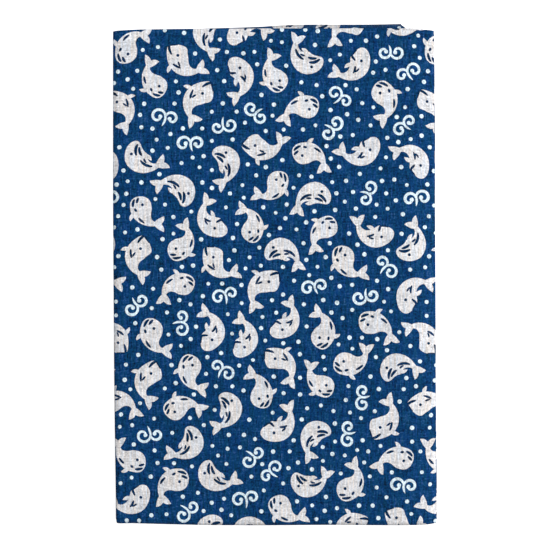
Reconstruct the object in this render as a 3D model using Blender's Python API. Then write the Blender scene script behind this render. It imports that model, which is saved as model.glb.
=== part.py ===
# Tenugui towel, folded flat
#
# One length of plain-woven cotton, 338 mm by 900 mm. It is first folded in three across its width,
# like a letter, into a strip of three plies. The strip is then folded back and forth into five panels.
# The solid is that back-and-forth section: one sheet as thick as the three plies, turned round four
# folds, its panels a little apart. It lies flat on its last panel.
#
# Metres, +Z up. +Y points to the end where the cloth's first cut end shows, +X to the narrow fold.
# The origin is the middle of the packet's footprint, on the surface that it lies on.

import math

import bmesh
import bpy

# The cloth, cut from the bolt
CLOTH_WIDTH = 0.338
PLY = 0.00034
PLY_PITCH = 0.00038

# The strip: the front ply, a tucked ply behind it, and a back flap whose selvedge stops short
STRIP_WIDTH = 0.1167
TUCKED_PLY_SHORT = 0.0010
BACK_FLAP = CLOTH_WIDTH - 2 * STRIP_WIDTH + TUCKED_PLY_SHORT
STRIP = 2 * PLY_PITCH + PLY

# The packet: five panels of the strip, one above the other
PANEL_GAP = 0.00035
PITCH = STRIP + PANEL_GAP
FOLD_RADIUS = PITCH / 2
FOLD_REACH = FOLD_RADIUS + STRIP / 2

# The two ends and four folds in order along the strip, from the panel on top to the one at the bottom.
# left and right: distance of that edge from the middle of the packet, at its two corners (mm)
# bow: how far the middle of the edge stands out beyond the line between its corners (mm)
# corner: how far a corner is drawn in (mm); shift: how far the strip lies to +X there (mm)
EDGES = [
    {"at": "top", "kind": "end", "left": 89.9, "right": 90.1, "bow": 0.7, "corner": 0.4, "shift": -0.4},
    {"at": "foot", "kind": "fold", "left": 89.6, "right": 90.3, "bow": 0.0, "corner": 0.3, "shift": 0.4},
    {"at": "top", "kind": "fold", "left": 90.0, "right": 92.3, "bow": 0.1, "corner": 1.9, "shift": -0.1},
    {"at": "foot", "kind": "fold", "left": 89.3, "right": 89.4, "bow": 0.3, "corner": 0.6, "shift": 0.2},
    {"at": "top", "kind": "fold", "left": 89.6, "right": 90.2, "bow": 0.2, "corner": 0.5, "shift": -0.3},
    {"at": "foot", "kind": "end", "left": 88.7, "right": 89.2, "bow": 0.2, "corner": 0.3, "shift": 0.1},
]
CORNER_REACH = 0.009
MM = 0.001

# Past the back flap's selvedge each panel is a ply thinner, so the packet sinks towards the narrow fold.
# It closes this share of the space that the missing plies leave, over this distance.
BARE_CLOSED = 0.75
BARE_REACH = 0.0080

# How the packet settles: its rim is pressed thinner, and the faces are not quite level
RIM_REACH = 0.0050
RIM_PRESSED = 0.12
WAVE = 0.00012
WAVE_LENGTH_X = 0.071
WAVE_LENGTH_Y = 0.096
WAVE_START_X = 0.6
WAVE_START_Y = -0.4

# How finely the solid is divided
EDGE_ROUND = 0.0012
EDGE_STEPS = 3
FLAP_COLUMNS = 9
BARE_COLUMNS = 6
FOLD_STEPS = 8
PANEL_STEPS = 11

SHARP_ANGLE = 50

DYED_COTTON = (0.012, 0.052, 0.150, 1.0)
COTTON_ROUGHNESS = 0.92


def ease(share):
    """0 to 1 along a smooth S for a share between 0 and 1."""
    share = min(max(share, 0.0), 1.0)
    return share * share * (3 - 2 * share)


def section_columns():
    """The strip's section across its width: (x from its left edge, w of its front face, w of its back)."""
    columns = []
    half = STRIP / 2
    for step in range(EDGE_STEPS + 1):
        turn = math.pi / 2 * step / EDGE_STEPS
        inset = EDGE_ROUND * (1 - math.sin(turn))
        columns.append((inset, half * math.cos(turn), -half * math.cos(turn)))
    columns.sort()
    columns[0] = (0.0, 0.0, 0.0)
    for step in range(1, FLAP_COLUMNS + 1):
        x = EDGE_ROUND + (BACK_FLAP - EDGE_ROUND) * step / FLAP_COLUMNS
        columns.append((x, half, -half))
    step_up = -half + PLY_PITCH
    middle = (half + step_up) / 2
    thin = (half - step_up) / 2
    bare_start = BACK_FLAP + PLY  # the step at the selvedge slopes over one ply's thickness
    bare_end = STRIP_WIDTH - EDGE_ROUND
    for step in range(BARE_COLUMNS + 1):
        columns.append((bare_start + (bare_end - bare_start) * step / BARE_COLUMNS, half, step_up))
    for step in range(1, EDGE_STEPS + 1):
        turn = math.pi / 2 * step / EDGE_STEPS
        rise = thin * math.cos(turn)
        columns.append((bare_end + EDGE_ROUND * math.sin(turn), middle + rise, middle - rise))
    columns[-1] = (STRIP_WIDTH, middle, middle)
    return columns


def edge_line(edge, x):
    """Distance of an end or fold from the middle of the packet, where the strip is x from its left edge."""
    share = x / STRIP_WIDTH
    line = edge["left"] + (edge["right"] - edge["left"]) * share
    bow = edge["bow"] * (1 - (2 * share - 1) ** 2)
    to_corner = min(x, STRIP_WIDTH - x)
    drawn_in = edge["corner"] * (1 - ease(to_corner / CORNER_REACH))
    return (line + bow - drawn_in) * MM


def panel_end(index, x):
    """Where a panel's flat run stops at one of its edges: a fold begins there, or the cloth is cut."""
    edge = EDGES[index]
    reach = edge_line(edge, x)
    if edge["kind"] == "fold":
        reach -= FOLD_REACH
    return reach if edge["at"] == "top" else -reach


def flaps_missing_below(panel):
    """How many plies of the back flap a panel would lie on by the narrow fold, did they reach it."""
    panels_below = len(EDGES) - 2 - panel
    own_flap = 1 if panel % 2 == 0 else 0
    return panels_below + own_flap


def panel_level(panel, x):
    """Height of the middle of a panel above the surface, x from its left edge, before it settles."""
    level = (len(EDGES) - 2 - panel) * PITCH + STRIP / 2
    past_selvedge = ease((x - BACK_FLAP) / BARE_REACH)
    return level - flaps_missing_below(panel) * PLY_PITCH * BARE_CLOSED * past_selvedge


def settled(x, y, z):
    """The height z of a point of the strip once the packet has settled. What lies on the surface stays."""
    top = panel_level(0, 0.0) + STRIP / 2
    share = min(max(z / top, 0.0), 1.0)
    to_rim = min(
        STRIP_WIDTH / 2 - abs(x),
        edge_line(EDGES[1], x + STRIP_WIDTH / 2) - abs(y),
    )
    pressed = RIM_PRESSED * (1 - ease(to_rim / RIM_REACH))
    wave_x = math.sin(math.tau * x / WAVE_LENGTH_X + WAVE_START_X)
    wave_y = math.sin(math.tau * y / WAVE_LENGTH_Y + WAVE_START_Y)
    return z - pressed * z + WAVE * wave_x * wave_y * share


def strip_row(columns, place):
    """One row of points across the strip: place gives, for each x, the middle point and the front's normal."""
    front, back = [], []
    for x_in, w_front, w_back in columns:
        x, y, z, front_y, front_z = place(x_in)
        for side, w in ((front, w_front), (back, w_back)):
            point_y = y + w * front_y
            point_z = z + w * front_z
            side.append((x, point_y, settled(x, point_y, point_z)))
    return front, back


def panel_rows(columns, panel):
    """The rows of one flat panel, from its first edge to its second."""
    front_up = 1.0 if panel % 2 == 0 else -1.0
    rows = []
    for step in range(PANEL_STEPS + 1):
        share = step / PANEL_STEPS

        def place(x_in, share=share):
            y = panel_end(panel, x_in) * (1 - share) + panel_end(panel + 1, x_in) * share
            shift = EDGES[panel]["shift"] * (1 - share) + EDGES[panel + 1]["shift"] * share
            return x_in - STRIP_WIDTH / 2 + shift * MM, y, panel_level(panel, x_in), 0.0, front_up

        rows.append(strip_row(columns, place))
    return rows


def fold_rows(columns, index):
    """The rows round one fold, without the two that its panels already hold."""
    outward = 1.0 if EDGES[index]["at"] == "top" else -1.0
    front_outside = 1.0 if index % 2 == 1 else -1.0
    rows = []
    for step in range(1, FOLD_STEPS):
        turn = math.pi * step / FOLD_STEPS
        out_y = outward * math.sin(turn)
        out_z = math.cos(turn)

        def place(x_in, out_y=out_y, out_z=out_z):
            upper, lower = panel_level(index - 1, x_in), panel_level(index, x_in)
            radius = (upper - lower) / 2
            y = panel_end(index, x_in) + radius * out_y
            z = lower + radius + radius * out_z
            x = x_in - STRIP_WIDTH / 2 + EDGES[index]["shift"] * MM
            return x, y, z, front_outside * out_y, front_outside * out_z

        rows.append(strip_row(columns, place))
    return rows


def folded_rows(columns):
    """Every row of the folded strip, from the cut end on top to the cut end at the bottom."""
    rows = []
    for panel in range(len(EDGES) - 1):
        if panel > 0:
            rows += fold_rows(columns, panel)
        rows += panel_rows(columns, panel)
    return rows


def close_strip(rows):
    """A closed mesh of the strip: front and back meet along its two sides, and flat cuts close its ends."""
    mesh = bmesh.new()
    last = len(rows[0][0]) - 1
    fronts, backs = [], []
    for front, back in rows:
        front_points = [mesh.verts.new(point) for point in front]
        inner = [mesh.verts.new(point) for point in back[1:last]]
        fronts.append(front_points)
        backs.append([front_points[0], *inner, front_points[last]])
    for side, turned in ((fronts, False), (backs, True)):
        for row, next_row in zip(side, side[1:]):
            for column in range(last):
                corners = [row[column], row[column + 1], next_row[column + 1], next_row[column]]
                mesh.faces.new(corners[::-1] if turned else corners)
    for front, back, turned in ((fronts[0], backs[0], False), (fronts[-1], backs[-1], True)):
        for column in range(last):
            corners = [front[column], back[column], back[column + 1], front[column + 1]]
            corners = list(dict.fromkeys(corners))
            mesh.faces.new(corners[::-1] if turned else corners)
    bmesh.ops.recalc_face_normals(mesh, faces=mesh.faces)
    return mesh


def centre_footprint(mesh):
    """Moves the mesh so that the middle of its footprint is the origin and it lies on z = 0."""
    lows = [min(vert.co[axis] for vert in mesh.verts) for axis in range(3)]
    highs = [max(vert.co[axis] for vert in mesh.verts) for axis in range(2)]
    move = (-(lows[0] + highs[0]) / 2, -(lows[1] + highs[1]) / 2, -lows[2])
    bmesh.ops.translate(mesh, verts=mesh.verts, vec=move)


def dyed_cotton():
    """Plain cotton dyed indigo."""
    material = bpy.data.materials.new("dyed_cotton")
    material.use_nodes = True
    shader = material.node_tree.nodes["Principled BSDF"]
    shader.inputs["Base Color"].default_value = DYED_COTTON
    shader.inputs["Roughness"].default_value = COTTON_ROUGHNESS
    shader.inputs["Metallic"].default_value = 0.0
    return material


def make_towel():
    """The whole towel, one folded sheet."""
    mesh = close_strip(folded_rows(section_columns()))
    centre_footprint(mesh)
    data = bpy.data.meshes.new("tenugui")
    mesh.to_mesh(data)
    mesh.free()
    data.shade_smooth()
    data.set_sharp_from_angle(angle=math.radians(SHARP_ANGLE))
    data.materials.append(dyed_cotton())
    towel = bpy.data.objects.new("tenugui", data)
    bpy.context.scene.collection.objects.link(towel)
    return towel


for old in list(bpy.data.objects):
    bpy.data.objects.remove(old)
make_towel()
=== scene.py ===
import math

import bpy
import numpy as np
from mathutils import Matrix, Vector
from mathutils.geometry import delaunay_2d_cdt


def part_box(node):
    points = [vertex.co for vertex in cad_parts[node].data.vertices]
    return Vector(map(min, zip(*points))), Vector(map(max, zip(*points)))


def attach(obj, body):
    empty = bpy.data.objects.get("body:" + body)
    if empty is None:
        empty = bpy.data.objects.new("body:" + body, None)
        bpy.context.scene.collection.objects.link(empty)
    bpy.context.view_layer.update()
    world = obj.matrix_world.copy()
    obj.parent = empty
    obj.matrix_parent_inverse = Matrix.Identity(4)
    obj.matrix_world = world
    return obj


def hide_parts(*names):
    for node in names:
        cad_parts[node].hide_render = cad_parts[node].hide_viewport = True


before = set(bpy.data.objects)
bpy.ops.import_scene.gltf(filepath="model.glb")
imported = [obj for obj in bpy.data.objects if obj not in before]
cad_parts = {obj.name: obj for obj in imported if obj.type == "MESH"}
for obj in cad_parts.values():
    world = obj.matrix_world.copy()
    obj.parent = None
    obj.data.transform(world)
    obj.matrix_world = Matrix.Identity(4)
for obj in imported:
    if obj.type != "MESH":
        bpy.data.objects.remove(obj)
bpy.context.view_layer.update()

bpy.ops.object.select_all(action="DESELECT")
mm = 0.001
print("frame loaded")


# The towel: one length of cotton, folded in three across its width, then back and forth in five
# u runs across the flat cloth from the tucked selvedge, v along it from the cut end on top
towel = {
    "width": 0.338,
    "length": 0.900,
    "ply": 0.00030,
    "plyPitch": 0.00038,
    "face": 0.1167,  # its width once folded in three
    "tuckedShort": 0.0010,  # the tucked selvedge stays this far from the left fold
    "panels": 5,
    "panelPitch": 0.00145,
    "rimReach": 0.0022,
    "rimPressed": {"left": 0.075, "right": 0.08, "foot": 0.15, "top": 0.01},  # shares of the height
    "droop": 0.0024,  # how far a lower fold hangs down where it stands out past the cut end on top
    "droopReach": 0.0020,
    "droopStart": 0.3,  # it starts this many reaches inside the cut end
    "droopMost": 1.5,  # and stops growing this many reaches further out
    "bareClosed": 0.90,  # past the back flap's selvedge, this share of the space of the missing plies closes
    "bareCurve": 1.6,  # and this power says how late
    "wave": 0.00012,
    "waveLength": (0.071, 0.096),
    "waveStart": (0.6, -0.4),
    "sideWander": 0.00018,
    "topWander": 0.3,  # the top panel's share of that
    "bowAway": 0.0002,  # the top panel's middle lies this far to -X
    "bowWider": 0.0046,  # and is wider by this share
    "bowEnds": 0.6,  # while its ends are narrower by this much of that share
    "bowTaper": 0.4,  # and the foot by so much more
}

# Along a panel's side: waves from end to end, and how many more and how far on for each panel down
sideWaves = [
    {"waves": 0.9, "more": 0.23, "on": 1.7, "height": 1.0},
    {"waves": 2.3, "more": 0.31, "on": 0.8, "height": 0.45},
]

# The two ends and four folds, from the panel on top down, in millimetres
# line: share across from the left, and how far the edge stands out; shift: how far the strip lies to +X
edges = [
    {"at": 1, "fold": 0, "shift": -0.54,
     "line": ((0, 89.5), (0.07, 89.95), (0.20, 90.15), (0.45, 90.35), (0.90, 90.35), (0.93, 90.5),
              (1, 89.8))},
    {"at": -1, "fold": 1, "shift": 0.54,
     "line": ((0, 89.5), (0.05, 89.4), (0.12, 89.65), (0.28, 90.1), (0.46, 90.2), (0.65, 90.0), (0.83, 90.15),
              (0.97, 90.2), (1, 89.9))},
    {"at": 1, "fold": 1, "shift": -0.45,
     "line": ((0, 89.4), (0.08, 90.0), (0.45, 91.4), (0.52, 92.2), (0.58, 92.6), (0.65, 92.65), (0.78, 92.6),
              (0.90, 92.9), (0.916, 90.6), (1, 89.2))},
    {"at": -1, "fold": 1, "shift": 0.4,
     "line": ((0, 88.7), (0.08, 89.4), (0.5, 89.65), (0.92, 89.4), (1, 88.8))},
    {"at": 1, "fold": 1, "shift": -0.4,
     "line": ((0, 89.1), (0.08, 89.7), (0.5, 90.1), (0.92, 90.15), (1, 89.7))},
    {"at": -1, "fold": 0, "shift": 0.3,
     "line": ((0, 88.4), (0.08, 88.8), (0.5, 89.15), (0.92, 89.2), (1, 88.9))},
]
edgeColumns = {key: np.array([edge[key] for edge in edges], float) for key in ("at", "fold", "shift")}

# Where each stretch of the letter fold ends along u: tucked ply, right fold, front ply, left fold, flap
rightRadius = towel["plyPitch"] / 2
leftRadius = towel["plyPitch"]
rightStart = towel["face"] - rightRadius - towel["tuckedShort"]
rightEnd = rightStart + math.pi * rightRadius
leftStart = rightEnd + towel["face"] - rightRadius - leftRadius
leftEnd = leftStart + math.pi * leftRadius
flapEdge = leftRadius + towel["width"] - leftEnd  # x of the flap's selvedge from the left fold

# And where each panel and fold lies along v
stripThick = 2 * towel["plyPitch"] + towel["ply"]
foldRadius = towel["panelPitch"] / 2
foldReach = foldRadius + stripThick / 2
foldArc = math.pi * foldRadius
panelRun = (towel["length"] - (towel["panels"] - 1) * foldArc) / towel["panels"]
panelPeriod = panelRun + foldArc


def ease(share):
    share = np.clip(share, 0, 1)
    return share * share * (3 - 2 * share)


# The letter fold: x from the left edge, w through the strip, and the way the printed side faces
def acrossStrip(u):
    face, pitch = towel["face"], towel["plyPitch"]
    turnRight = np.clip((u - rightStart) / rightRadius, 0, math.pi)
    turnLeft = np.clip((u - leftStart) / leftRadius, 0, math.pi)
    stretches = [u < rightStart, u < rightEnd, u < leftStart, u < leftEnd]
    x = np.select(
        stretches,
        [
            towel["tuckedShort"] + u,
            face - rightRadius + rightRadius * np.sin(turnRight),
            face - rightRadius - (u - rightEnd),
            leftRadius - leftRadius * np.sin(turnLeft),
        ],
        leftRadius + (u - leftEnd),
    )
    w = np.select(
        stretches,
        [0 * u, pitch / 2 - rightRadius * np.cos(turnRight), 0 * u + pitch, leftRadius * np.cos(turnLeft)],
        -pitch,
    )
    faceX = np.sin(turnRight) - np.sin(turnLeft)
    faceW = np.where(u < (rightEnd + leftStart) / 2, -np.cos(turnRight), np.cos(turnLeft))
    return x, w, faceX, faceW


# How far an end or fold stands from the middle of the packet; index is one number, or one for each x
def edgeLine(index, x):
    lines = np.array([np.interp(x / towel["face"], *zip(*edge["line"])) for edge in edges]) * mm
    return np.take_along_axis(lines, np.broadcast_to(index, x.shape)[None], axis=0)[0]


def panelEnd(index, x):
    reach = edgeLine(index, x) - foldReach * edgeColumns["fold"][index]
    return reach * edgeColumns["at"][index]


def panelLevel(panel, x):
    level = (towel["panels"] - 1 - panel) * towel["panelPitch"] + stripThick / 2
    missingBelow = towel["panels"] - 1 - panel + (panel % 2 == 0)
    sunk = missingBelow * towel["plyPitch"] * towel["bareClosed"]
    pastFlap = np.clip((x - flapEdge) / (towel["face"] - flapEdge), 0, 1)
    return level - sunk * pastFlap ** towel["bareCurve"]


# Each panel's sides wander a little between its two ends, and the top panel is widest in its middle
def sideways(panel, share, x):
    bulge = np.sin(math.pi * share)
    wander = np.where(panel == 0, towel["topWander"], 1.0) * towel["sideWander"] * bulge
    swing = 0
    for wave in sideWaves:
        waves = wave["waves"] + wave["more"] * panel
        swing = swing + wave["height"] * np.sin(math.tau * waves * share + wave["on"] * panel)
    wider = (bulge - towel["bowEnds"] - towel["bowTaper"] * share) * towel["bowWider"] * x
    return wander * swing + np.where(panel == 0, wider - bulge * towel["bowAway"], 0)


# Presses the rims down, lets what stands out past the cut end hang, and gives the faces slow waves
def settled(x, y, z):
    top = (towel["panels"] - 1) * towel["panelPitch"] + stripThick
    half = towel["face"] / 2
    toRims = {"left": half + x, "right": half - x}
    toRims["foot"], toRims["top"] = edgeLine(1, x + half) + y, edgeLine(0, x + half) - y
    pressed = 0
    for rim, share in towel["rimPressed"].items():
        pressed = pressed + share * np.clip(1 - toRims[rim] / towel["rimReach"], 0, 1) ** 2
    past = np.clip(towel["droopStart"] - toRims["top"] / towel["droopReach"], 0, towel["droopMost"])
    waveX = np.sin(math.tau * x / towel["waveLength"][0] + towel["waveStart"][0])
    waveY = np.sin(math.tau * y / towel["waveLength"][1] + towel["waveStart"][1])
    lift = towel["wave"] * waveX * waveY - towel["droop"] * past ** 2
    return z - pressed * z + lift * np.clip(z / top, 0, 1)


# Where a point of the flat cloth lies once folded; side is +1 on the printed side, -1 on the other
def foldedPlace(u, v, side):
    xIn, w, faceX, faceW = acrossStrip(u)
    w = w + side * faceW * towel["ply"] / 2
    xIn = xIn + side * faceX * towel["ply"] / 2
    panel = np.clip(np.floor(v / panelPeriod), 0, towel["panels"] - 1).astype(int)
    within = v - panel * panelPeriod
    share = np.clip(within / panelRun, 0, 1)
    turn = np.clip((within - panelRun) / foldRadius, 0, math.pi)
    after = np.minimum(panel + 1, len(edges) - 1)
    nextPanel = np.minimum(panel + 1, towel["panels"] - 1)
    frontUp = np.where(panel % 2 == 0, 1.0, -1.0)
    upper, lower = panelLevel(panel, xIn), panelLevel(nextPanel, xIn)
    radius = np.where(turn > 0, (upper - lower) / 2, 0)
    outY = np.sin(turn) * edgeColumns["at"][after]
    outZ = np.where(turn > 0, np.cos(turn), 1.0)
    frontY = frontUp * outY
    frontZ = frontUp * outZ
    flatY = panelEnd(panel, xIn) * (1 - share) + panelEnd(after, xIn) * share
    y = flatY + radius * outY + w * frontY
    z = upper - radius + radius * outZ + w * frontZ
    shift = edgeColumns["shift"][panel] * (1 - share) + edgeColumns["shift"][after] * share
    x = xIn - towel["face"] / 2
    x = x + shift * mm + sideways(panel, share, x)
    return np.stack([x, y, settled(x, y, z)], axis=-1)


# The print, in millimetres on the flat cloth: whales, scrolls and dots left undyed on indigo
printed = {
    "seed": 5,
    "tile": (338.0 / 3, 180.0),
    "whales": 67,
    "scrolls": 26,
    "motifGap": 3.2,
    "meetReach": 20.0,  # motifs further apart than this never meet
    "settleSteps": 240,
    "pushed": 0.05,  # how far a motif gives way at each step
    "twisted": 0.004,
    "twistMost": 15,
    "dots": 350,
    "dotRadius": 0.76,
    "dotClear": 0.55,
    "dotApart": 2.2,
    "dotCorners": 12,
    "roomStep": 0.5,
    "roomReach": 7.0,  # how far round a motif the room left for dots is measured
    "shake": 0.016,  # how far the cutter's hand strays from an outline
}

# Whales, from the snout: bend in degrees over the back, belly on the inner (1) or outer (-1) side of it
whaleKinds = [
    {"length": 16.4, "girth": 3.70, "bend": 150, "curl": 1.6, "belly": -1, "marks": "jaw", "flukes": 54},
    {"length": 15.0, "girth": 3.95, "bend": 136, "curl": 1.9, "belly": -1, "marks": "chin", "flukes": 52},
    {"length": 17.0, "girth": 3.60, "bend": 172, "curl": 1.1, "belly": 1, "marks": "jawIn", "flukes": 52},
    {"length": 16.8, "girth": 4.15, "bend": 186, "curl": 0.9, "belly": 1, "marks": "throat", "flukes": 50},
    {"length": 14.4, "girth": 3.95, "bend": 112, "curl": 2.2, "belly": -1, "marks": "chin", "flukes": 56},
]
# How far back the head is round, and how round
heads = {"jaw": (0.15, 2.9), "jawIn": (0.20, 2.5), "chin": (0.24, 2.2), "throat": (0.42, 1.8)}
tailHalf = 0.19  # share of the girth at the root of the tail

# Scrolls: two curls that grow from one cusp, with a short tail
curls = {"points": 24, "tighter": 0.70, "tighterLate": 1.5, "tip": 0.80, "tipCorners": 12,
         "tailFrom": 1.1, "tailHalf": 0.42, "tailHook": -0.7}
scrollKinds = [
    {"radii": (2.55, 2.20), "turns": (1.00, 0.94), "tail": 4.6, "stroke": 0.90},
    {"radii": (2.25, 2.50), "turns": (0.94, 1.02), "tail": 4.0, "stroke": 0.94},
]


def halfWidth(kind, share):
    reach, power = heads[kind["marks"]]
    rise = (1 - (1 - np.clip(share / reach, 0, 1)) ** power) ** (1 / power)
    taper = 1 - (1 - tailHalf) * ease((share - 0.33) / 0.60)
    return kind["girth"] * rise * taper


# A point of the body: share from snout to tail, aside from -1 to 1 across it
def bodyPoint(kind, share, aside):
    fine = np.linspace(0, 1, 61)
    heading = math.radians(kind["bend"]) * fine ** kind["curl"]
    middle = (heading[1:] + heading[:-1]) / 2
    step = kind["length"] / (len(fine) - 1)
    spineX = np.concatenate([[0], np.cumsum(np.cos(middle)) * step])
    spineY = np.concatenate([[0], np.cumsum(np.sin(middle)) * step])
    turn = np.interp(share, fine, heading)
    out = halfWidth(kind, share) * aside
    x = np.interp(share, fine, spineX) - np.sin(turn) * out
    y = np.interp(share, fine, spineY) + np.cos(turn) * out
    return np.stack([x, y], axis=-1)


# A closed outline round a line of points, with the given half width at each
def alongLine(line, half):
    way = np.gradient(line, axis=0)
    way /= np.linalg.norm(way, axis=1)[:, None] + 1e-9
    aside = np.stack([-way[:, 1], way[:, 0]], axis=1) * half[:, None]
    outline = np.concatenate([line + aside, (line - aside)[::-1]])
    keep = np.linalg.norm(outline - np.roll(outline, 1, axis=0), axis=1) > 0.03
    return outline[keep]


# A pointed leaf: flukes, fins and tails
def leaf(start, angle, length, half, hook, steps=9):
    share = np.linspace(0, 1, steps)
    heading = angle + hook * (share - 0.2)
    strides = np.stack([np.cos(heading), np.sin(heading)], axis=1) * length / (steps - 1)
    line = start + np.concatenate([[[0, 0]], np.cumsum(strides[:-1], axis=0)])
    return alongLine(line, half * np.sin(math.pi * (0.1 + 0.9 * share)) ** 0.8)


# A dyed stroke inside the body, from begin to end along it, with its place across at both
def slit(kind, begin, end, asides, half):
    share = np.linspace(0, 1, 8)
    line = bodyPoint(kind, begin + (end - begin) * share, asides[0] + (asides[1] - asides[0]) * share)
    return alongLine(line, half * np.sin(math.pi * (0.06 + 0.88 * share)) ** 0.5)


def roundSpot(centre, radius, corners):
    turn = np.arange(corners) * math.tau / corners
    return np.asarray(centre) + radius * np.stack([np.cos(turn), np.sin(turn)], axis=1)


# Dyed strokes: begin and end along the body, place across it at both, half width in millimetres
slits = {
    "jaw": [(0.00, 0.21, 1.02, 0.54, 0.50), (0.37, 0.51, 0.62, 0.20, 0.44), (0.37, 0.48, 0.06, 0.12, 0.36)],
    "jawIn": [(0.00, 0.25, 0.98, 0.50, 0.46), (0.40, 0.57, 0.40, 0.06, 0.44),
              (0.41, 0.52, -0.08, 0.00, 0.36)],
    "chin": [(0.035, 0.17, 0.26, 0.36, 0.48), (0.07, 0.25, 0.68, 0.72, 0.50), (0.29, 0.36, 0.60, 0.46, 0.46),
             (0.50, 0.65, 0.58, 0.62, 0.44)],
    "throat": [(0.05, 0.31, 0.00, 0.08, 0.56), (0.09, 0.36, 0.42, 0.50, 0.52),
               (0.45, 0.77, 0.20, 0.16, 0.52), (0.48, 0.62, 0.58, 0.48, 0.38)],
}
eyes = {"jaw": (0.235, -0.06), "jawIn": (0.25, -0.12), "chin": (0.22, -0.18), "throat": (0.26, -0.36)}

# What all whales have alike: along is a share of the body, the rest is in millimetres and degrees
whaleParts = {
    "outlineAlong": [0.004, 0.014, 0.03, 0.05, 0.08, 0.12, 0.16, *np.arange(0.21, 0.94, 0.06)],
    "tailAlong": [0.86, 0.92],
    "fluke": {"length": 4.9, "half": 1.10, "apart": 0.45},
    "fin": {"along": 0.38, "aside": 0.74, "bent": 0.25, "turned": 66, "length": 3.3, "half": 0.72,
            "hook": 0.7},
    "eyeRadius": 0.55,
    "eyeCorners": 10,
    "discsAlong": [0.10, 0.26, 0.42, 0.58, 0.74],
    "tipRadius": 0.9,
}


# Outlines left undyed and outlines dyed again inside them, and discs that cover the motif
def whale(kind):
    belly = kind["belly"]
    along = np.array(whaleParts["outlineAlong"])
    snout = bodyPoint(kind, np.array([0.0]), 0)
    body = np.concatenate([bodyPoint(kind, along, 1), bodyPoint(kind, along[::-1], -1), snout])
    tail = bodyPoint(kind, np.array(whaleParts["tailAlong"]), 0)
    tailway = math.atan2(tail[1, 1] - tail[0, 1], tail[1, 0] - tail[0, 0])
    spread = math.radians(kind["flukes"])
    fluke, fin = whaleParts["fluke"], whaleParts["fin"]
    undyed = [body]
    for hand in (1, -1):
        heading = tailway + hand * spread * fluke["apart"]
        undyed.append(leaf(tail[0], heading, fluke["length"], fluke["half"], hand * spread))
    finRoot = bodyPoint(kind, fin["along"], fin["aside"] * belly)
    finway = math.radians(kind["bend"] * fin["bent"] + fin["turned"] * belly)
    undyed.append(leaf(finRoot, finway, fin["length"], fin["half"], -fin["hook"] * belly))
    eyeAlong, eyeAside = eyes[kind["marks"]]
    eye = bodyPoint(kind, eyeAlong, eyeAside * belly)
    dyed = [roundSpot(eye, whaleParts["eyeRadius"], whaleParts["eyeCorners"])]
    for begin, end, asideFrom, asideTo, half in slits[kind["marks"]]:
        dyed.append(slit(kind, begin, end, (asideFrom * belly, asideTo * belly), half))
    covered = np.array(whaleParts["discsAlong"])
    discs = [(*point, radius) for point, radius in zip(bodyPoint(kind, covered, 0), halfWidth(kind, covered))]
    for outline in undyed[1:3]:
        discs.append((*outline[5:9].mean(axis=0), whaleParts["tipRadius"]))
        discs.append((*outline[2:5].mean(axis=0), whaleParts["tipRadius"]))
    discs.append((*(undyed[3].mean(axis=0)), whaleParts["tipRadius"]))
    return {"undyed": undyed, "dyed": dyed, "discs": discs}


def scroll(kind):
    undyed, discs = [], []
    for radius, turns, side in zip(kind["radii"], kind["turns"], (1, -1)):
        share = np.linspace(0, 1, curls["points"])
        centre = np.array([0.0, side * radius])
        turn = -side * math.pi / 2 + side * math.tau * turns * share
        away = radius * (1 - curls["tighter"] * share ** curls["tighterLate"])
        line = centre + away[:, None] * np.stack([np.cos(turn), np.sin(turn)], axis=1)
        half = kind["stroke"] / 2 * (0.75 + 0.35 * np.sin(math.pi * share ** 0.8))
        undyed.append(alongLine(line, half))
        undyed.append(roundSpot(line[-1], kind["stroke"] * curls["tip"], curls["tipCorners"]))
        discs.append((*centre, radius + 0.3))
    cusp = np.array([curls["tailFrom"], 0.0])
    undyed.append(leaf(cusp, math.pi, kind["tail"], curls["tailHalf"], curls["tailHook"]))
    discs.append((0.6 - kind["tail"] * 0.75, 0.2, 0.7))
    return {"undyed": undyed, "dyed": [], "discs": discs}


def centred(motif):
    middle = np.mean([disc[:2] for disc in motif["discs"]], axis=0)
    for key in ("undyed", "dyed"):
        motif[key] = [outline - middle for outline in motif[key]]
    motif["discs"] = [(x - middle[0], y - middle[1], radius) for x, y, radius in motif["discs"]]
    return motif


def mirrored(motif):
    flip = np.array([1, -1])
    return {
        "undyed": [(outline * flip)[::-1] for outline in motif["undyed"]],
        "dyed": [(outline * flip)[::-1] for outline in motif["dyed"]],
        "discs": [(x, -y, radius) for x, y, radius in motif["discs"]],
        "tone": motif["tone"],
    }


def turned(points, angle):
    cos, sin = math.cos(angle), math.sin(angle)
    return points @ np.array([[cos, sin], [-sin, cos]])


# Spreads points over a tile that repeats, each as far as it can get from the others
def spreadPoints(rng, count, tile):
    points = [rng.random(2) * tile]
    while len(points) < count:
        tries = rng.random((60, 2)) * tile
        away = tries[:, None] - np.array(points)[None]
        away -= tile * np.round(away / tile)
        points.append(tries[np.linalg.norm(away, axis=2).min(axis=1).argmax()])
    return np.array(points)


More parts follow.
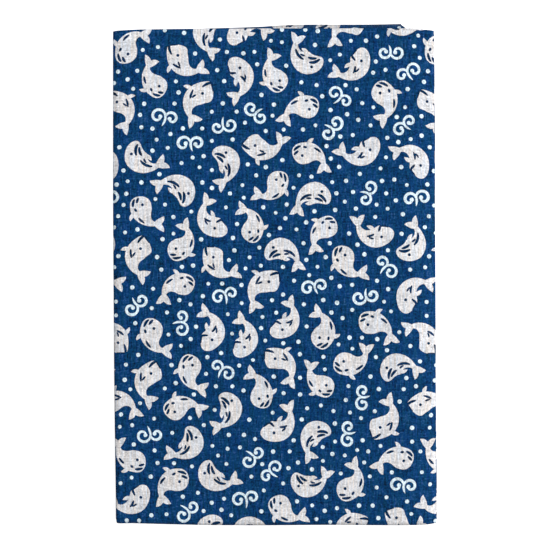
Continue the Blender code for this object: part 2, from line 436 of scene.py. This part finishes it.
# Pushes and turns the motifs until they share the room evenly
def settleMotifs(rng, motifs):
    tile = np.array(printed["tile"])
    places = spreadPoints(rng, len(motifs), tile)
    angles = rng.random(len(motifs)) * math.tau
    most = max(len(motif["discs"]) for motif in motifs)
    filled = [motif["discs"] + [motif["discs"][0]] * (most - len(motif["discs"])) for motif in motifs]
    discs = np.array(filled)
    radii = discs[:, :, 2].ravel()
    for step in range(printed["settleSteps"]):
        if step % 20 == 0:
            apart = places[:, None] - places[None]
            apart -= tile * np.round(apart / tile)
            near = np.linalg.norm(apart, axis=2) + 99 * np.eye(len(motifs)) < printed["meetReach"]
            first, second = np.nonzero(near)
            one = np.repeat(first[:, None] * most + np.arange(most), most, axis=1).ravel()
            two = np.tile(second[:, None] * most + np.arange(most), (1, most)).ravel()
            wanted = radii[one] + radii[two] + printed["motifGap"]
        cos, sin = np.cos(angles)[:, None], np.sin(angles)[:, None]
        armX = discs[:, :, 0] * cos - discs[:, :, 1] * sin
        armY = discs[:, :, 0] * sin + discs[:, :, 1] * cos
        spots = np.stack([(places[:, :1] + armX).ravel(), (places[:, 1:] + armY).ravel()], axis=1)
        away = spots[one] - spots[two]
        away -= tile * np.round(away / tile)
        far = np.linalg.norm(away, axis=1) + 1e-6
        push = np.clip(wanted - far, 0, 3) / far
        forceX = np.bincount(one, push * away[:, 0], radii.size).reshape(armX.shape)
        forceY = np.bincount(one, push * away[:, 1], radii.size).reshape(armX.shape)
        calm = 1 - 0.8 * step / printed["settleSteps"]
        pushes = np.stack([forceX.sum(axis=1), forceY.sum(axis=1)], axis=1)
        places = places + printed["pushed"] * calm * pushes
        twist = (armX * forceY - armY * forceX).sum(axis=1)
        twist = np.clip(twist, -printed["twistMost"], printed["twistMost"])
        angles = angles + printed["twisted"] * calm * twist
    return places, angles


# Fills what is left of the tile with dots, always in the widest gap; taken: (x, y, radius) of what is there
def scatterDots(taken):
    tile = np.array(printed["tile"])
    counts = np.round(tile / printed["roomStep"]).astype(int)
    cell = tile / counts
    reach = int(printed["roomReach"] / printed["roomStep"])
    around = np.stack(np.meshgrid(*[np.arange(-reach, reach + 1)] * 2, indexing="ij"), axis=-1)
    room = np.full(counts, printed["roomReach"])

    def take(x, y, radius):
        middle = np.floor(np.array([x, y]) / cell).astype(int)
        spots = middle + around
        far = np.linalg.norm(spots * cell - (x, y), axis=-1) - radius
        column, row = spots[..., 0] % counts[0], spots[..., 1] % counts[1]
        room[column, row] = np.minimum(room[column, row], far)

    for x, y, radius in taken:
        take(x, y, radius)
    dots = []
    while len(dots) < printed["dots"] and room.max() > printed["dotRadius"] + printed["dotClear"]:
        dots.append(np.unravel_index(room.argmax(), room.shape) * cell)
        take(*dots[-1], printed["dotApart"])
    print("dots on a tile:", len(dots))
    return dots


# Outlines of one tile of the print, in millimetres: (points, tone)
# The tone is 1 where the cloth is bare, 2 in the small motifs, which stay whiter, 0 where it is dyed and
# -1 in the strokes inside a whale, which take the dye deeper
def makeTile():
    rng = np.random.default_rng(printed["seed"])
    motifs = []
    for index in range(printed["whales"] + printed["scrolls"]):
        isScroll = index % 7 in (2, 5)
        kinds = scrollKinds if isScroll else whaleKinds
        kind = kinds[index % len(kinds)]
        motif = centred(scroll(kind) if isScroll else whale(kind))
        motif["tone"] = 2 if isScroll else 1
        motifs.append(mirrored(motif) if rng.random() < 0.5 else motif)
    places, angles = settleMotifs(rng, motifs)
    pieces, taken = [], []
    for motif, place, angle in zip(motifs, places, angles):
        size = rng.uniform(0.96, 1.04)
        for key, tone in (("undyed", motif["tone"]), ("dyed", -1)):
            for outline in motif[key]:
                shaken = outline + rng.normal(0, printed["shake"], outline.shape)
                pieces.append((place + size * turned(shaken, angle), tone))
        for x, y, radius in motif["discs"]:
            taken.append((*(place + size * turned(np.array([[x, y]]), angle)[0]), radius * size))
    for points, tone in pieces:
        if tone > 0:
            taken += [(x, y, 0) for x, y in points[::2]]
    for dot in scatterDots(taken):
        radius = printed["dotRadius"] * rng.uniform(0.90, 1.08)
        outline = roundSpot(dot, radius, printed["dotCorners"])
        pieces.append((outline + rng.normal(0, printed["shake"], outline.shape), 2))
    return pieces


tilePieces = makeTile()
print("print drawn:", len(tilePieces), "outlines on a tile")


# The mesh: points of the flat cloth, in millimetres
meshing = {
    "acrossFace": [0.5, 1.1, 1.8, 2.6, 3.6, 5.6, 9, 15, 22, 30, 38, 46, 54, 62, 70, 78, 86, 93, 99, 103, 105,
                   105.6, 106.2, 106.9, 108, 109.5, 111, 112.3, 113.3, 114.2, 115, 115.7, 116.2],
    "fromEnd": [0.5, 1.1, 1.8, 2.6, 3.6, 6.0, 9],
    "alongPanel": 12,
    "bendSteps": 8,
    "sideBand": 1.5,  # print and bake reach this far past the side folds
    "foldBand": 1.2,
    "bareStrip": 12.6,
    "printMargin": 2,
    "smoothAngle": 50,
}
flatWidth, flatLength = towel["width"] / mm, towel["length"] / mm
rightFrom, rightTo, leftFrom, leftTo = (value / mm for value in (rightStart, rightEnd, leftStart, leftEnd))
run, arc, period = panelRun / mm, foldArc / mm, panelPeriod / mm


def sortedStops(*groups):
    stops = np.unique(np.round(np.concatenate([np.ravel(group) for group in groups]), 4))
    return stops[np.concatenate([[True], np.diff(stops) > 0.02])]


faceStops = np.array(meshing["acrossFace"])
bend = np.linspace(0, 1, meshing["bendSteps"] + 1)
rightBend = rightFrom + (rightTo - rightFrom) * bend
leftBend = leftFrom + (leftTo - leftFrom) * bend
tuckedStops = faceStops[faceStops > 1.5] - towel["tuckedShort"] / mm
frontStops = rightTo + towel["face"] / mm - rightRadius / mm - faceStops
flapStops = leftTo + faceStops[faceStops < flapEdge / mm - 0.8] - leftRadius / mm
sideLines = [leftFrom - meshing["sideBand"], leftTo + meshing["sideBand"], rightFrom - meshing["sideBand"],
             rightTo + meshing["sideBand"], rightFrom - meshing["bareStrip"]]
uStops = sortedStops([0, flatWidth], tuckedStops, rightBend, frontStops, leftBend, flapStops, sideLines)
foldBends = [panel * period + run + arc * bend for panel in range(towel["panels"] - 1)]
foldLines = [panel * period + past for panel in range(1, towel["panels"])
             for past in (meshing["foldBand"], -arc - meshing["foldBand"])]
ends = np.array(meshing["fromEnd"])
middle = np.arange(ends[-1] + 3, run - ends[-1] - 2, meshing["alongPanel"])
panelStops = [panel * period + np.concatenate([[0], ends, middle, run - ends, [run]])
              for panel in range(towel["panels"])]
vStops = sortedStops(*panelStops, *foldBends, foldLines)
vStops[-1] = flatLength
print("flat cloth:", len(uStops), "by", len(vStops), "points")

# Where the print is laid: u from, u to, v from, v to; it is left out where no view reaches into the folds
lastFold = (towel["panels"] - 1) * period - arc
margin = meshing["printMargin"]
faceZone = (rightFrom - margin, leftTo + margin, 0, period + margin)
printZones = [
    faceZone,
    (leftFrom - margin, flatWidth, lastFold - margin, flatLength),
    (rightFrom - meshing["bareStrip"], rightTo + margin, lastFold - margin, flatLength),
    (rightFrom - margin, rightTo + margin, 0, flatLength),
    (leftFrom - margin, leftTo + margin, 0, flatLength),
]
for panel in range(1, towel["panels"]):
    printZones.append((0, flatWidth, panel * period - arc - margin, panel * period + margin))
printZones += [(0, flatWidth, 0, margin), (0, flatWidth, flatLength - margin, flatLength)]


def touches(outline, zone):
    low, high = outline.min(axis=0), outline.max(axis=0)
    return high[0] > zone[0] and low[0] < zone[1] and high[1] > zone[2] and low[1] < zone[3]


# Every outline of the print that shows, at its place on the flat cloth
def layPrint():
    laid = []
    tileWidth, tileLength = printed["tile"]
    for column in range(-1, math.ceil(flatWidth / tileWidth) + 1):
        for row in range(-1, math.ceil(flatLength / tileLength) + 1):
            for points, tone in tilePieces:
                outline = points + (column * tileWidth, row * tileLength)
                if touches(outline, faceZone):
                    laid.append((outline, tone))
                elif any(touches(outline, zone) for zone in printZones):
                    laid.append((outline[::2], tone))
    return laid


def gridPoints(us, vs):
    return [Vector((u, v)) for u in us for v in vs]


# Pairs of grid points along the lines that the mesh has to keep
def keptLines(alongV, alongU, us, vs):
    count = len(vs)
    pairs = []
    for u in alongV:
        first = int(np.argmin(abs(us - u))) * count
        pairs += [(first + step, first + step + 1) for step in range(count - 1)]
    for v in alongU:
        first = int(np.argmin(abs(vs - v)))
        pairs += [(step * count + first, (step + 1) * count + first) for step in range(len(us) - 1)]
    return pairs


# Triangles over the flat rectangle that keep the lines between pairs of points
def triangulated(points, pairs):
    spots, _, faces, _, _, _ = delaunay_2d_cdt(points, pairs, [], 0, 1e-4, False)
    spots = np.array([tuple(spot) for spot in spots])
    faces = np.array(faces)
    centre = spots[faces].mean(axis=1)
    inside = ((centre > 0) & (centre < (flatWidth, flatLength))).all(axis=1)
    used, faces = np.unique(faces[inside], return_inverse=True)
    return spots[used], faces.reshape(-1, 3)


# Which spots a closed outline winds round
def woundRound(spots, outline):
    x, y = spots[:, :1], spots[:, 1:]
    x1, y1 = outline.T
    x2, y2 = np.roll(outline, -1, axis=0).T
    leftOf = (x2 - x1) * (y - y1) - (x - x1) * (y2 - y1)
    up = (y1 <= y) & (y2 > y) & (leftOf > 0)
    down = (y1 > y) & (y2 <= y) & (leftOf < 0)
    return up.sum(axis=1) != down.sum(axis=1)


# The print's tone on every triangle; the dyed outlines lie on the bare ones
def printTones(flat, faces, laid):
    centre = flat[faces].mean(axis=1)
    order = np.argsort(centre[:, 0])
    sortedU = centre[order, 0]
    tones = np.zeros(len(faces))
    for outline, tone in sorted(laid, key=lambda piece: piece[1] < 0):
        low, high = outline.min(axis=0), outline.max(axis=0)
        near = order[np.searchsorted(sortedU, low[0]):np.searchsorted(sortedU, high[0])]
        near = near[(centre[near, 1] > low[1]) & (centre[near, 1] < high[1])]
        tones[near[woundRound(centre[near], outline)]] = tone
    return tones


# Where each part of the cloth lies on the bake map (left, foot, right, top); the face on top gets most of it
bakePlaces = {
    "face": (0.005, 0.005, 0.640, 0.962),
    "underside": (0.650, 0.005, 0.995, 0.560),
    "bareStrip": (0.650, 0.570, 0.690, 0.962),
    "side": (0.698, 0.570, 0.711, 0.962),
    "sideStep": 0.017,
    "fold": (0.005, 0.968, 0.640, 0.974),
    "foldStep": 0.0078,
    "hidden": (0.845, 0.570, 0.915, 0.962),
    "otherSide": (0.922, 0.570, 0.965, 0.962),
    "rims": [(0.972, 0.570, 0.976, 0.962), (0.980, 0.570, 0.984, 0.962), (0.650, 0.968, 0.960, 0.972),
             (0.650, 0.980, 0.960, 0.984)],
}


# Parts of the flat cloth (u from, u to, v from, v to), each with its place on the bake map
def bakeParts():
    band, foldBand = meshing["sideBand"], meshing["foldBand"]
    bareFrom = rightFrom - meshing["bareStrip"]
    parts = [
        ((rightFrom - band, leftTo + band, 0, period + foldBand), bakePlaces["face"]),
        ((leftTo + band, flatWidth, lastFold - foldBand, flatLength), bakePlaces["underside"]),
        ((bareFrom, rightFrom - band, lastFold - foldBand, flatLength), bakePlaces["bareStrip"]),
    ]
    left, foot, right, top = bakePlaces["side"]
    aside = 0
    for panel in range(1, towel["panels"]):
        for low, high in ((rightFrom - band, rightTo + band), (leftFrom - band, leftTo + band)):
            begin = panel * period + foldBand if panel == 1 else panel * period - arc - foldBand
            end = min((panel + 1) * period - arc - foldBand, flatLength)
            if panel == towel["panels"] - 1:
                end = flatLength
            parts.append(((low, high, begin, end), (left + aside, foot, right + aside, top)))
            aside += bakePlaces["sideStep"]
    left, foot, right, top = bakePlaces["fold"]
    for fold in range(1, towel["panels"]):
        up = bakePlaces["foldStep"] * (fold - 1)
        part = (0, flatWidth, fold * period - arc - foldBand, fold * period + foldBand)
        parts.append((part, (left, foot + up, right, top + up)))
    parts.append(((0, flatWidth, 0, flatLength), bakePlaces["hidden"]))
    return parts


def placedIn(flat, part, place):
    share = (flat - (part[0], part[2])) / (part[1] - part[0], part[3] - part[2])
    return np.array(place[:2]) + share * (place[2] - place[0], place[3] - place[1])


# Corners of every triangle on the bake map
def bakeCorners(flat, faces):
    corners = flat[faces]
    centre = corners.mean(axis=1)
    placed = np.zeros_like(corners)
    waiting = np.ones(len(faces), bool)
    for part, place in bakeParts():
        within = waiting & (centre[:, 0] > part[0]) & (centre[:, 0] < part[1])
        within &= (centre[:, 1] > part[2]) & (centre[:, 1] < part[3])
        placed[within] = placedIn(corners[within], part, place)
        waiting &= ~within
    return placed


# Edges that only one triangle has, with the triangle, in the triangle's own direction
def openEdges(faces):
    edges = np.concatenate([faces[:, [0, 1]], faces[:, [1, 2]], faces[:, [2, 0]]])
    owners = np.tile(np.arange(len(faces)), 3)
    keys = np.sort(edges, axis=1)
    _, first, counts = np.unique(keys, axis=0, return_index=True, return_counts=True)
    alone = first[counts == 1]
    return edges[alone], owners[alone]


# The printed side: its points and triangles on the flat cloth, and the tone of each triangle
def printedSide():
    laid = layPrint()
    bends = [*rightBend, *leftBend, *sideLines, 0, flatWidth]
    folds = [*np.concatenate(foldBends), *foldLines, 0, flatLength]
    pairs = keptLines(bends, folds, uStops, vStops)
    points = gridPoints(uStops, vStops)
    for outline, _ in laid:
        first, count = len(points), len(outline)
        points += [Vector(point) for point in outline]
        pairs += [(first + step, first + (step + 1) % count) for step in range(count)]
    front, faces = triangulated(points, pairs)
    print("printed side:", len(faces), "triangles")
    return front, faces, printTones(front, faces, laid)


# The other side: a grid, with the printed side's own points along the rim
def otherSide(rimSpots):
    us, vs = uStops[1:-1], vStops[1:-1]
    kept = keptLines([*rightBend, *leftBend], np.concatenate(foldBends), us, vs)
    back, faces = triangulated(gridPoints(us, vs) + [Vector(spot) for spot in rimSpots], kept)
    print("other side:", len(faces), "triangles")
    return back, faces


# One quad for each rim edge, from the printed side to the same spot of the other side
def rimFaces(front, back, rimEdges):
    partner = {}
    for index in np.unique(rimEdges):
        partner[index] = len(front) + int(np.abs(back - front[index]).sum(axis=1).argmin())
    return np.array([(b, a, partner[a], partner[b]) for a, b in rimEdges])


def rimCorners(front, rimEdges):
    corners = []
    for a, b in rimEdges:
        (ua, va), (ub, vb) = front[a], front[b]
        alongU = abs(ub - ua) > abs(vb - va)
        side = (2 if va < 1 else 3) if alongU else (0 if ua < 1 else 1)
        left, foot, right, top = bakePlaces["rims"][side]
        if alongU:
            xa, xb = (left + (right - left) * value / flatWidth for value in (ua, ub))
            corners += [(xb, foot), (xa, foot), (xa, top), (xb, top)]
        else:
            ya, yb = (foot + (top - foot) * value / flatLength for value in (va, vb))
            corners += [(left, yb), (left, ya), (right, ya), (right, yb)]
    return np.array(corners)


# Both sides folded up, in the middle of the solid's box and on its foot
def foldedSides(front, back):
    places = np.concatenate([
        foldedPlace(front[:, 0] * mm, front[:, 1] * mm, 1),
        foldedPlace(back[:, 0] * mm, back[:, 1] * mm, -1),
    ])
    box = np.array(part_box("tenugui"))
    low, high = places.min(axis=0), places.max(axis=0)
    places[:, :2] += (box[:, :2].mean(axis=0) - (low[:2] + high[:2]) / 2)
    places[:, 2] -= low[2] - box[0, 2]
    return places


def makeTowel():
    front, frontFaces, tones = printedSide()
    rimEdges, rimOwners = openEdges(frontFaces)
    back, backFaces = otherSide(front[np.unique(rimEdges)])
    backFaces = backFaces[:, ::-1]
    rim = rimFaces(front, back, rimEdges)
    allFaces = frontFaces.tolist() + (backFaces + len(front)).tolist() + rim.tolist()
    mesh = bpy.data.meshes.new("tenugui_cloth")
    mesh.from_pydata(foldedSides(front, back).tolist(), [], allFaces)
    values = np.concatenate([tones, np.zeros(len(backFaces)), tones[rimOwners]])
    mesh.attributes.new("undyed", "FLOAT", "FACE").data.foreach_set("value", values.astype(np.float32))

    flat = np.concatenate([front, back])
    loops = np.concatenate([np.ravel(face) for face in allFaces])
    clothMap = mesh.uv_layers.new(name="clothUV")
    clothMap.data.foreach_set("uv", (flat[loops] * mm).astype(np.float32).ravel())
    bakeMap = mesh.uv_layers.new(name="OFBake")
    corners = np.concatenate([
        bakeCorners(front, frontFaces).reshape(-1, 2),
        placedIn(back[backFaces], (0, flatWidth, 0, flatLength), bakePlaces["otherSide"]).reshape(-1, 2),
        rimCorners(front, rimEdges),
    ])
    bakeMap.data.foreach_set("uv", corners.astype(np.float32).ravel())
    clothMap.active_render = True
    mesh.uv_layers.active = clothMap
    mesh.validate()

    cloth = bpy.data.objects.new("tenugui_cloth", mesh)
    bpy.context.scene.collection.objects.link(cloth)
    bpy.context.view_layer.objects.active = cloth
    cloth.select_set(True)
    bpy.ops.object.shade_smooth_by_angle(angle=math.radians(meshing["smoothAngle"]))
    cloth.select_set(False)
    print("towel folded:", len(allFaces), "faces")
    return cloth


cloth = makeTowel()


# Shader maths: a socket that Python's operators work on, and one method for every other node
class Wire:
    def __init__(self, recipe, socket):
        self.recipe = recipe
        self.socket = socket

    def maths(self, operation, *others):
        return self.recipe.node("ShaderNodeMath", {"operation": operation}, [self, *others])

    def __add__(self, other):
        return self.maths("ADD", other)

    def __sub__(self, other):
        return self.maths("SUBTRACT", other)

    def __rsub__(self, other):
        return self.recipe.node("ShaderNodeMath", {"operation": "SUBTRACT"}, [other, self])

    def __mul__(self, other):
        return self.maths("MULTIPLY", other)

    def __truediv__(self, other):
        return self.maths("DIVIDE", other)

    __radd__ = __add__
    __rmul__ = __mul__

    def clamped(self, low=0.0, high=1.0):
        return self.recipe.node("ShaderNodeClamp", {}, [self, low, high])

    def rise(self, start, end):
        inputs = {"Value": self, "From Min": start, "From Max": end}
        return self.recipe.node("ShaderNodeMapRange", {"interpolation_type": "SMOOTHSTEP"}, inputs)


class Recipe:
    def __init__(self, name):
        self.material = bpy.data.materials.new(name)
        self.material.use_nodes = True
        self.nodes = self.material.node_tree.nodes
        self.links = self.material.node_tree.links
        self.shader = self.nodes["Principled BSDF"]

    def plug(self, value, socket):
        if isinstance(value, Wire):
            self.links.new(value.socket, socket)
        else:
            socket.default_value = value

    def node(self, kind, settings, inputs, output=0):
        made = self.nodes.new(kind)
        for key, value in settings.items():
            setattr(made, key, value)
        pairs = inputs.items() if isinstance(inputs, dict) else enumerate(inputs)
        for key, value in pairs:
            self.plug(value, made.inputs[key])
        return Wire(self, made.outputs[output])

    def vector(self, x, y, z=0.0):
        return self.node("ShaderNodeCombineXYZ", {}, [x, y, z])

    def noise(self, place, scale, detail=2.0, rough=0.5):
        inputs = {"Vector": place, "Scale": scale, "Detail": detail, "Roughness": rough}
        return self.node("ShaderNodeTexNoise", {}, inputs)

    def blend(self, factor, first, second, mode="MIX"):
        made = self.nodes.new("ShaderNodeMix")
        made.data_type = "RGBA"
        made.blend_type = mode
        for value, socket in zip((factor, first, second), (made.inputs[0], made.inputs[6], made.inputs[7])):
            self.plug(value, socket)
        return Wire(self, made.outputs[2])


# The dyed cotton; colours are linear
cotton = {
    "threadPitch": 0.00048,
    "indigo": (0.0008, 0.043, 0.172, 1),
    "indigoGreen": (0.0012, 0.052, 0.143, 1),
    "fuzz": (0.14, 0.14, 0.17, 1),  # loose fibres that the dye left pale
    "undyed": (0.72, 0.77, 0.85, 1),
    "undyedWarm": (0.84, 0.78, 0.74, 1),
    "undyedFine": (0.76, 0.90, 0.98, 1),  # dots and scrolls
    "deepStroke": 0.45,  # how much darker the strokes inside a whale are
    "warpUneven": 1.9,  # how far single threads stand out from the rest
    "weftUneven": 1.3,
    "grain": 1.3,  # and the fibres within each thread
    "grainScale": 1500.0,
    "warpLength": 230.0,  # changes of a thread's tone along a metre
    "weftLength": 240.0,
    "warpWander": 0.00022,
    "weftWander": 0.00018,
    "cloud": 0.12,
    "relief": 0.30,  # painted shade: how much darker a thread is painted in the gaps at its sides than on its top
    "whiteContrast": 0.76,
    "blueContrast": 1.65,
    "fuzzShare": 0.24,
    "bump": 0.00009,
    "bumpStrength": 0.8,
    "roughness": 0.75,
    "gloss": 0.07,
}


def dyedCotton():
    recipe = Recipe("dyed_cotton")
    mapped = recipe.nodes.new("ShaderNodeUVMap")
    mapped.uv_map = "clothUV"
    split = recipe.nodes.new("ShaderNodeSeparateXYZ")
    recipe.links.new(mapped.outputs[0], split.inputs[0])
    u, v = Wire(recipe, split.outputs[0]), Wire(recipe, split.outputs[1])
    undyed = recipe.node("ShaderNodeAttribute", {"attribute_name": "undyed"}, {}, output="Fac")

    # Threads: their number and where across each one a point lies; they wander a little
    wander = recipe.noise(recipe.vector(u, v), 90.0, 1.0) - 0.5
    warp = (u + wander * cotton["warpWander"]) / cotton["threadPitch"]
    weft = (v + wander * cotton["weftWander"]) / cotton["threadPitch"]
    warpNumber, weftNumber = warp.maths("FLOOR"), weft.maths("FLOOR")
    acrossWarp = (warp - warpNumber) * 2 - 1
    acrossWeft = (weft - weftNumber) * 2 - 1
    warpOver = (warpNumber + weftNumber).maths("PINGPONG", 1.0)
    roundWarp = 1 - acrossWarp * acrossWarp
    roundWeft = 1 - acrossWeft * acrossWeft
    height = warpOver * roundWarp * (roundWeft * 0.5 + 0.5)
    height = height + (1 - warpOver) * roundWeft * (roundWarp * 0.5 + 0.5)

    # Uneven yarn: every thread has its own tone along its length, and its own tint
    alongWarp, alongWeft = v * cotton["warpLength"], u * cotton["weftLength"] + 40.0
    warpTone = recipe.noise(recipe.vector(warpNumber * 5.37, alongWarp), 1.0, 2.0, 0.6) - 0.5
    weftTone = recipe.noise(recipe.vector(alongWeft, weftNumber * 5.37), 1.0, 2.0, 0.6) - 0.5
    tint = recipe.noise(recipe.vector(warpNumber * 0.81 + 90.0, v * 90.0), 1.0, 2.0)
    cloud = recipe.noise(recipe.vector(u, v), 60.0, 3.0, 0.55) - 0.5
    tone = warpTone * (warpOver * 0.5 + 0.5) * cotton["warpUneven"]
    tone = tone + weftTone * (1 - warpOver * 0.5) * cotton["weftUneven"]
    grain = recipe.noise(recipe.vector(u, v), cotton["grainScale"], 2.0, 0.6) - 0.5
    tone = tone + grain * cotton["grain"]
    # The weave's height paints shade into the gaps between threads, on top of each thread's own uneven tone
    light = (1 + tone + cloud * cotton["cloud"] + (height - 0.6) * cotton["relief"]).clamped(0.3, 1.7)

    blue = recipe.blend(tint.rise(0.35, 0.65), cotton["indigo"], cotton["indigoGreen"])
    white = recipe.blend(tint.rise(0.30, 0.70), cotton["undyed"], cotton["undyedWarm"])
    white = recipe.blend((undyed - 1).clamped(), white, cotton["undyedFine"])
    whiteLight = (light - 1) * cotton["whiteContrast"] + 1
    blueLight = ((light - 1) * cotton["blueContrast"] + 1).clamped(0.15, 2.6)
    blueLight = blueLight * (1 - (0 - undyed).clamped() * cotton["deepStroke"])
    dyed = recipe.blend(1.0, blue, recipe.vector(blueLight, blueLight, blueLight), "MULTIPLY")
    dyed = recipe.blend(tone.rise(0.05, 0.60) * cotton["fuzzShare"], dyed, cotton["fuzz"])
    bare = recipe.blend(1.0, white, recipe.vector(whiteLight, whiteLight, whiteLight), "MULTIPLY")
    recipe.plug(recipe.blend(undyed.clamped(), dyed, bare), recipe.shader.inputs["Base Color"])
    relief = {"Strength": cotton["bumpStrength"], "Distance": cotton["bump"], "Height": height}
    recipe.plug(recipe.node("ShaderNodeBump", {}, relief), recipe.shader.inputs["Normal"])
    recipe.shader.inputs["Roughness"].default_value = cotton["roughness"]
    recipe.shader.inputs["Specular IOR Level"].default_value = cotton["gloss"]
    return recipe.material


cloth.data.materials.append(dyedCotton())
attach(cloth, "root")
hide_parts("tenugui")
print("cotton dyed")


# The studio: a white floor, soft light all round, a large lamp from the right, a small one at the top left
studio = {
    "floorSize": 6.0,
    "floorHeight": -0.0001,
    "floor": (0.97, 0.97, 0.97, 1),
    "sky": (1.0, 1.0, 1.0, 1),
    "skyStrength": 0.23,
    "lamps": {"key": {"at": (1.15, 0.0, 0.80), "size": 0.8, "power": 20.6},
              "top": {"at": (-0.12, 0.17, 0.36), "size": 0.2, "power": 0.43}},
    "floorGlow": 0.70,  # the floor is lit from below too, which takes out most of the shadow
    "lens": 100.0,
    "cameraAt": (-0.00008, -0.00044, 0.5606),
}


def makeStudio():
    bpy.ops.mesh.primitive_plane_add(size=studio["floorSize"], location=(0, 0, studio["floorHeight"]))
    floor = bpy.context.object
    floor.name = "studio_floor"
    recipe = Recipe("studio_white")
    recipe.shader.inputs["Base Color"].default_value = studio["floor"]
    recipe.shader.inputs["Roughness"].default_value = 0.9
    recipe.shader.inputs["Specular IOR Level"].default_value = 0.1
    recipe.shader.inputs["Emission Color"].default_value = studio["floor"]
    recipe.shader.inputs["Emission Strength"].default_value = studio["floorGlow"]
    # Clear from below, so that the towel's underside can be looked at
    backside = recipe.node("ShaderNodeNewGeometry", {}, {}, output="Backfacing")
    recipe.plug(1 - backside, recipe.shader.inputs["Alpha"])
    floor.data.materials.append(recipe.material)
    floor.visible_diffuse = False  # its glow doesn't reach the cloth

    world = bpy.data.worlds.new("studio_light")
    world.use_nodes = True
    background = world.node_tree.nodes["Background"]
    background.inputs["Color"].default_value = studio["sky"]
    background.inputs["Strength"].default_value = studio["skyStrength"]
    bpy.context.scene.world = world

    for name, lamp in studio["lamps"].items():
        place = Vector(lamp["at"])
        bpy.ops.object.light_add(type="AREA", location=place)
        light = bpy.context.object
        light.name = name + "_lamp"
        light.data.size = lamp["size"]
        light.data.energy = lamp["power"]
        light.rotation_euler = (-place).to_track_quat("-Z", "Y").to_euler()

    bpy.ops.object.camera_add(location=studio["cameraAt"], rotation=(0, 0, 0))
    camera = bpy.context.object
    camera.data.lens = studio["lens"]
    camera.data.sensor_width = 36
    camera.data.clip_start = 0.01
    bpy.context.scene.camera = camera
    bpy.context.scene.view_settings.view_transform = "Standard"
    print("studio lit")


makeStudio()
